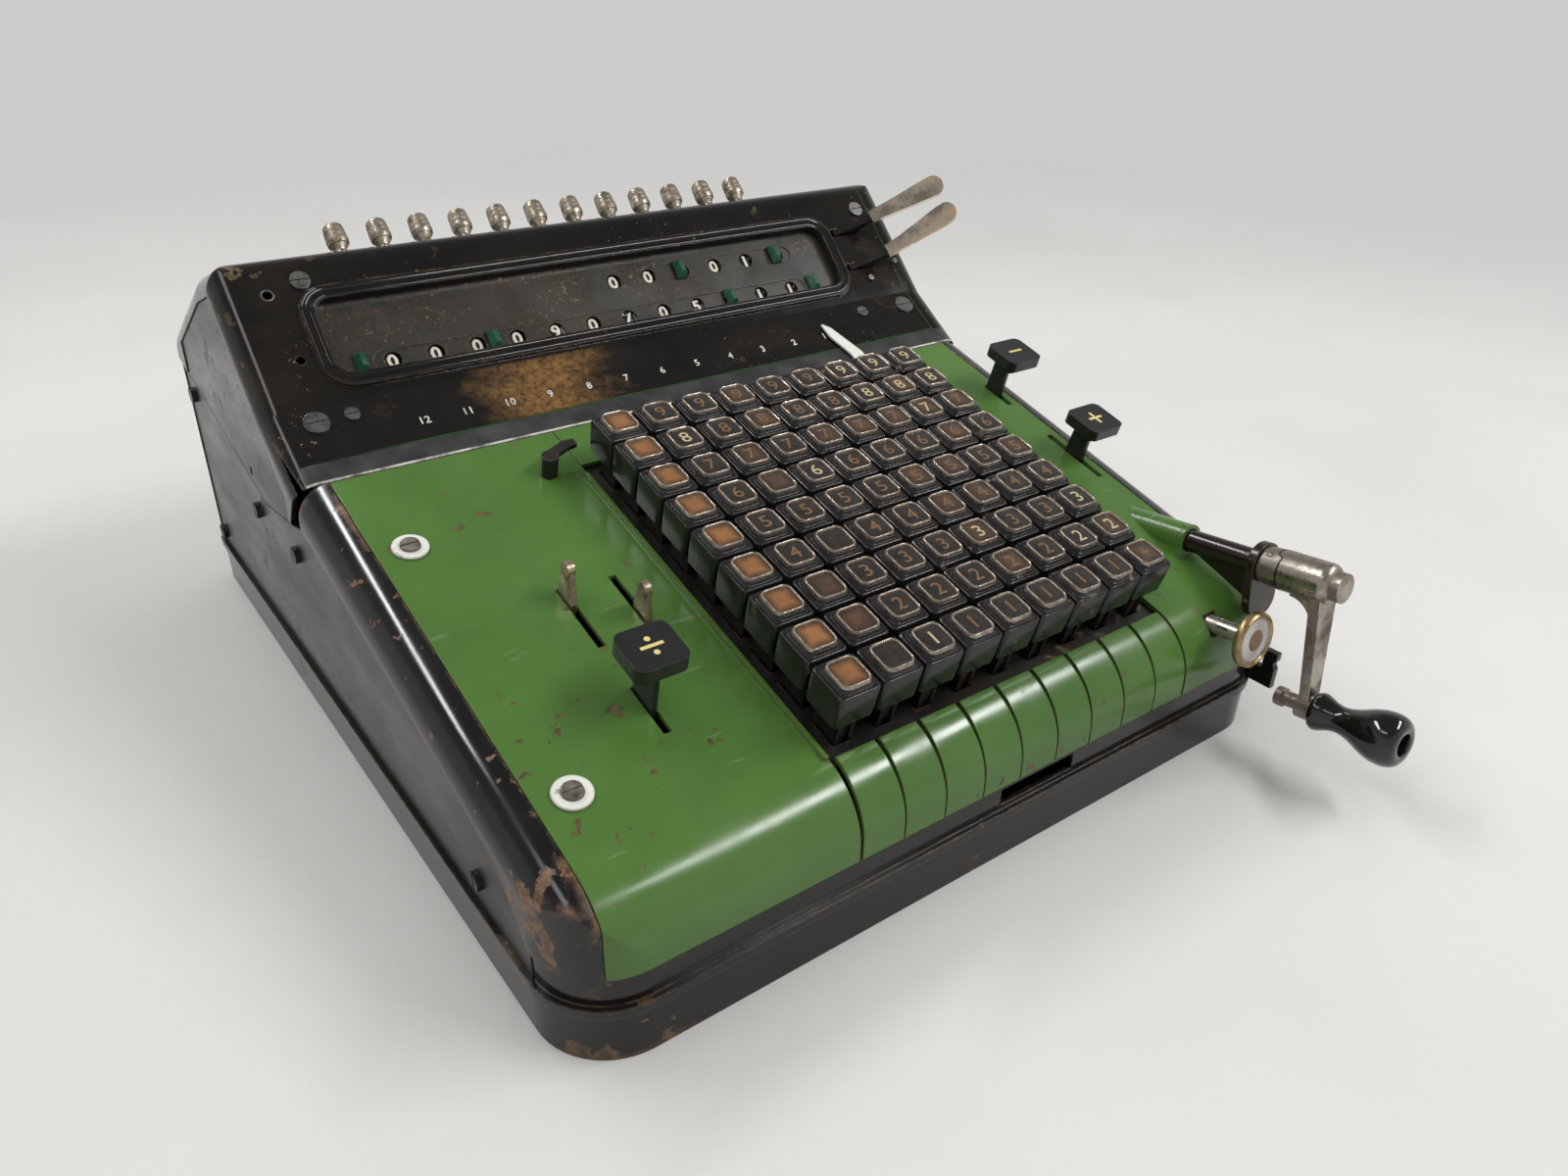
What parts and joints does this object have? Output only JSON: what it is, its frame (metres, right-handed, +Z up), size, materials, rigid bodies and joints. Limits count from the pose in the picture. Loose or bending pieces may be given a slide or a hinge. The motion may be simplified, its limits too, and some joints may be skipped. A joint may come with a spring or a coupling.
{
  "type": "mechanical adding machine",
  "caption": "Hand-cranked mechanical adding machine with a sloped full keyboard, setting levers and a sliding register carriage with number dials.",
  "frame": {"origin": "centre of the flat underside of the base pan, midway between the front skirt and the rear cover", "axes": "+X to the operator's right, along the carriage's travel; +Y from the operator to the rear; +Z up"},
  "size_m": [0.3539, 0.4602, 0.1877],
  "materials": {
    "black_japan": "semi-gloss black enamel, worn",
    "dark_panel": "satin dark grey enamel, scuffed",
    "black_gloss": "glossy black enamel, chipped at the edges",
    "green_enamel": "satin green enamel, crazed and worn",
    "blackened_steel": "matt black coating",
    "frame_steel": "dull steel with a film of oil",
    "bright_steel": "ground steel",
    "brown_black_gloss": "glossy dark brown enamel",
    "white_enamel": "satin white enamel",
    "worn_nickel": "worn nickel plating with brown patina",
    "marker_green": "dark green enamel, worn",
    "dial_black": "satin black drums with white figures, on steel spindles with knurled knobs",
    "key_black": "satin black with worn bright frames",
    "handle_black": "polished black"
  },
  "bodies": {
    "machine_body": {"base_pan": "black_japan", "left_side_cover": "dark_panel", "right_side_cover": "dark_panel", "rear_cover": "dark_panel", "border_rails": "black_gloss", "left_cover_plate": "green_enamel", "right_cover_plate": "green_enamel", "comb_strips": "green_enamel", "key_guide_plate": "blackened_steel", "inner_frame": "frame_steel", "carriage_rails": "bright_steel", "crank_bearing": "brown_black_gloss", "scale_pointer": "white_enamel", "body_screws": "worn_nickel"},
    "carriage": {"carriage_cover": "black_japan", "window_plate": "blackened_steel", "carriage_end_plates": "dark_panel", "carriage_chassis": "frame_steel", "carriage_screws": "worn_nickel"},
    "result_dial_body_1": {"result_dial_1": "dial_black"},
    "result_dial_body_2": {"result_dial_2": "dial_black"},
    "result_dial_body_3": {"result_dial_3": "dial_black"},
    "result_dial_body_4": {"result_dial_4": "dial_black"},
    "result_dial_body_5": {"result_dial_5": "dial_black"},
    "result_dial_body_6": {"result_dial_6": "dial_black"},
    "result_dial_body_7": {"result_dial_7": "dial_black"},
    "result_dial_body_8": {"result_dial_8": "dial_black"},
    "result_dial_body_9": {"result_dial_9": "dial_black"},
    "result_dial_body_10": {"result_dial_10": "dial_black"},
    "result_dial_body_11": {"result_dial_11": "dial_black"},
    "result_dial_body_12": {"result_dial_12": "dial_black"},
    "counter_dial_body_1": {"counter_dial_1": "dial_black"},
    "counter_dial_body_2": {"counter_dial_2": "dial_black"},
    "counter_dial_body_3": {"counter_dial_3": "dial_black"},
    "counter_dial_body_4": {"counter_dial_4": "dial_black"},
    "counter_dial_body_5": {"counter_dial_5": "dial_black"},
    "counter_dial_body_6": {"counter_dial_6": "dial_black"},
    "lower_markers_body": {"lower_markers": "marker_green"},
    "upper_markers_body": {"upper_markers": "marker_green"},
    "key_column_body_1": {"key_column_1": "key_black"},
    "key_column_body_2": {"key_column_2": "key_black"},
    "key_column_body_3": {"key_column_3": "key_black"},
    "key_column_body_4": {"key_column_4": "key_black"},
    "key_column_body_5": {"key_column_5": "key_black"},
    "key_column_body_6": {"key_column_6": "key_black"},
    "key_column_body_7": {"key_column_7": "key_black"},
    "key_column_body_8": {"key_column_8": "key_black"},
    "key_column_body_9": {"key_column_9": "key_black"},
    "setting_lever_left_body": {"setting_lever_left": "worn_nickel"},
    "setting_lever_right_body": {"setting_lever_right": "worn_nickel"},
    "function_key_body": {"function_key": "black_gloss"},
    "shift_key_body": {"shift_key": "black_gloss"},
    "add_key_body": {"add_key": "black_gloss"},
    "release_arm_body": {"release_arm": "blackened_steel"},
    "clearing_lever_front_body": {"clearing_lever_front": "worn_nickel"},
    "clearing_lever_rear_body": {"clearing_lever_rear": "worn_nickel"},
    "crank": {"crank_arm": "worn_nickel", "drive_shaft": "bright_steel"},
    "crank_handle_body": {"crank_handle": "handle_black"},
    "push_button_body": {"push_button": "worn_nickel"}
  },
  "joints": [
    {"name": "carriage_shift", "type": "slide", "parent": "machine_body", "child": "carriage", "axis": [1, 0, 0], "range_m": [0, 0.0925]},
    {"name": "result_dial_1_turn", "type": "hinge", "parent": "carriage", "child": "result_dial_body_1", "pos_m": [-0.1118, 0.06437, 0.13553], "axis": [0, 0.7071, 0.7071], "continuous": true},
    {"name": "result_dial_2_turn", "type": "hinge", "parent": "carriage", "child": "result_dial_body_2", "pos_m": [-0.0933, 0.06437, 0.13553], "axis": [0, 0.7071, 0.7071], "continuous": true},
    {"name": "result_dial_3_turn", "type": "hinge", "parent": "carriage", "child": "result_dial_body_3", "pos_m": [-0.0748, 0.06437, 0.13553], "axis": [0, 0.7071, 0.7071], "continuous": true},
    {"name": "result_dial_4_turn", "type": "hinge", "parent": "carriage", "child": "result_dial_body_4", "pos_m": [-0.0563, 0.06437, 0.13553], "axis": [0, 0.7071, 0.7071], "continuous": true},
    {"name": "result_dial_5_turn", "type": "hinge", "parent": "carriage", "child": "result_dial_body_5", "pos_m": [-0.0378, 0.06437, 0.13553], "axis": [0, 0.7071, 0.7071], "continuous": true},
    {"name": "result_dial_6_turn", "type": "hinge", "parent": "carriage", "child": "result_dial_body_6", "pos_m": [-0.0193, 0.06437, 0.13553], "axis": [0, 0.7071, 0.7071], "continuous": true},
    {"name": "result_dial_7_turn", "type": "hinge", "parent": "carriage", "child": "result_dial_body_7", "pos_m": [-0.0008, 0.06437, 0.13553], "axis": [0, 0.7071, 0.7071], "continuous": true},
    {"name": "result_dial_8_turn", "type": "hinge", "parent": "carriage", "child": "result_dial_body_8", "pos_m": [0.0177, 0.06437, 0.13553], "axis": [0, 0.7071, 0.7071], "continuous": true},
    {"name": "result_dial_9_turn", "type": "hinge", "parent": "carriage", "child": "result_dial_body_9", "pos_m": [0.0362, 0.06437, 0.13553], "axis": [0, 0.7071, 0.7071], "continuous": true},
    {"name": "result_dial_10_turn", "type": "hinge", "parent": "carriage", "child": "result_dial_body_10", "pos_m": [0.0547, 0.06437, 0.13553], "axis": [0, 0.7071, 0.7071], "continuous": true},
    {"name": "result_dial_11_turn", "type": "hinge", "parent": "carriage", "child": "result_dial_body_11", "pos_m": [0.0732, 0.06437, 0.13553], "axis": [0, 0.7071, 0.7071], "continuous": true},
    {"name": "result_dial_12_turn", "type": "hinge", "parent": "carriage", "child": "result_dial_body_12", "pos_m": [0.0917, 0.06437, 0.13553], "axis": [0, 0.7071, 0.7071], "continuous": true},
    {"name": "counter_dial_1_turn", "type": "hinge", "parent": "carriage", "child": "counter_dial_body_1", "pos_m": [-0.0008, 0.06437, 0.13553], "axis": [0, 0.7071, 0.7071], "continuous": true},
    {"name": "counter_dial_2_turn", "type": "hinge", "parent": "carriage", "child": "counter_dial_body_2", "pos_m": [0.0177, 0.06437, 0.13553], "axis": [0, 0.7071, 0.7071], "continuous": true},
    {"name": "counter_dial_3_turn", "type": "hinge", "parent": "carriage", "child": "counter_dial_body_3", "pos_m": [0.0362, 0.06437, 0.13553], "axis": [0, 0.7071, 0.7071], "continuous": true},
    {"name": "counter_dial_4_turn", "type": "hinge", "parent": "carriage", "child": "counter_dial_body_4", "pos_m": [0.0547, 0.06437, 0.13553], "axis": [0, 0.7071, 0.7071], "continuous": true},
    {"name": "counter_dial_5_turn", "type": "hinge", "parent": "carriage", "child": "counter_dial_body_5", "pos_m": [0.0732, 0.06437, 0.13553], "axis": [0, 0.7071, 0.7071], "continuous": true},
    {"name": "counter_dial_6_turn", "type": "hinge", "parent": "carriage", "child": "counter_dial_body_6", "pos_m": [0.0917, 0.06437, 0.13553], "axis": [0, 0.7071, 0.7071], "continuous": true},
    {"name": "lower_markers_slide", "type": "slide", "parent": "carriage", "child": "lower_markers_body", "axis": [1, 0, 0], "range_m": [-0.003, 0.007]},
    {"name": "upper_markers_slide", "type": "slide", "parent": "carriage", "child": "upper_markers_body", "axis": [1, 0, 0], "range_m": [-0.008, 0.008]},
    {"name": "key_column_1_press", "type": "slide", "parent": "machine_body", "child": "key_column_body_1", "axis": [0, 0.2571, -0.9664], "range_m": [0, 0.005], "stiffness_N_per_m": 300, "springref_m": -0.01},
    {"name": "key_column_2_press", "type": "slide", "parent": "machine_body", "child": "key_column_body_2", "axis": [0, 0.2571, -0.9664], "range_m": [0, 0.005], "stiffness_N_per_m": 300, "springref_m": -0.01},
    {"name": "key_column_3_press", "type": "slide", "parent": "machine_body", "child": "key_column_body_3", "axis": [0, 0.2571, -0.9664], "range_m": [0, 0.005], "stiffness_N_per_m": 300, "springref_m": -0.01},
    {"name": "key_column_4_press", "type": "slide", "parent": "machine_body", "child": "key_column_body_4", "axis": [0, 0.2571, -0.9664], "range_m": [0, 0.005], "stiffness_N_per_m": 300, "springref_m": -0.01},
    {"name": "key_column_5_press", "type": "slide", "parent": "machine_body", "child": "key_column_body_5", "axis": [0, 0.2571, -0.9664], "range_m": [0, 0.005], "stiffness_N_per_m": 300, "springref_m": -0.01},
    {"name": "key_column_6_press", "type": "slide", "parent": "machine_body", "child": "key_column_body_6", "axis": [0, 0.2571, -0.9664], "range_m": [0, 0.005], "stiffness_N_per_m": 300, "springref_m": -0.01},
    {"name": "key_column_7_press", "type": "slide", "parent": "machine_body", "child": "key_column_body_7", "axis": [0, 0.2571, -0.9664], "range_m": [0, 0.005], "stiffness_N_per_m": 300, "springref_m": -0.01},
    {"name": "key_column_8_press", "type": "slide", "parent": "machine_body", "child": "key_column_body_8", "axis": [0, 0.2571, -0.9664], "range_m": [0, 0.005], "stiffness_N_per_m": 300, "springref_m": -0.01},
    {"name": "key_column_9_press", "type": "slide", "parent": "machine_body", "child": "key_column_body_9", "axis": [0, 0.2571, -0.9664], "range_m": [0, 0.005], "stiffness_N_per_m": 300, "springref_m": -0.01},
    {"name": "setting_lever_left_turn", "type": "hinge", "parent": "machine_body", "child": "setting_lever_left_body", "pos_m": [-0.1058, -0.07347, 0.0448], "axis": [1, 0, 0], "range_deg": [0, 24]},
    {"name": "setting_lever_right_turn", "type": "hinge", "parent": "machine_body", "child": "setting_lever_right_body", "pos_m": [-0.0853, -0.07347, 0.0448], "axis": [1, 0, 0], "range_deg": [-20, 0]},
    {"name": "function_key_turn", "type": "hinge", "parent": "machine_body", "child": "function_key_body", "pos_m": [-0.1054, -0.11681, 0.03327], "axis": [1, 0, 0], "range_deg": [0, 10]},
    {"name": "shift_key_turn", "type": "hinge", "parent": "machine_body", "child": "shift_key_body", "pos_m": [0.1515, -0.01887, 0.05933], "axis": [1, 0, 0], "range_deg": [0, 7]},
    {"name": "add_key_turn", "type": "hinge", "parent": "machine_body", "child": "add_key_body", "pos_m": [0.1515, -0.07323, 0.04487], "axis": [1, 0, 0], "range_deg": [-8, 10]},
    {"name": "release_arm_turn", "type": "hinge", "parent": "machine_body", "child": "release_arm_body", "pos_m": [-0.0787, -0.01087, 0.10803], "axis": [0, -0.2571, 0.9664], "range_deg": [-30, 10]},
    {"name": "clearing_lever_front_turn", "type": "hinge", "parent": "carriage", "child": "clearing_lever_front_body", "pos_m": [0.136, 0.06239, 0.14246], "axis": [0, -0.7071, -0.7071], "range_deg": [0, 35]},
    {"name": "clearing_lever_rear_turn", "type": "hinge", "parent": "carriage", "child": "clearing_lever_rear_body", "pos_m": [0.136, 0.07688, 0.15696], "axis": [0, -0.7071, -0.7071], "range_deg": [0, 35]},
    {"name": "crank_turn", "type": "hinge", "parent": "machine_body", "child": "crank", "pos_m": [0.1472, -0.194, 0.08], "axis": [0, -0.9925, 0.1219], "continuous": true},
    {"name": "crank_handle_spin", "type": "hinge", "parent": "crank", "child": "crank_handle_body", "pos_m": [0.1472, -0.2007, 0.02541], "axis": [0, -0.9925, 0.1219], "continuous": true},
    {"name": "push_button_press", "type": "slide", "parent": "machine_body", "child": "push_button_body", "axis": [0, 0.9925, -0.1219], "range_m": [0, 0.005], "stiffness_N_per_m": 300, "springref_m": -0.01}
  ]
}
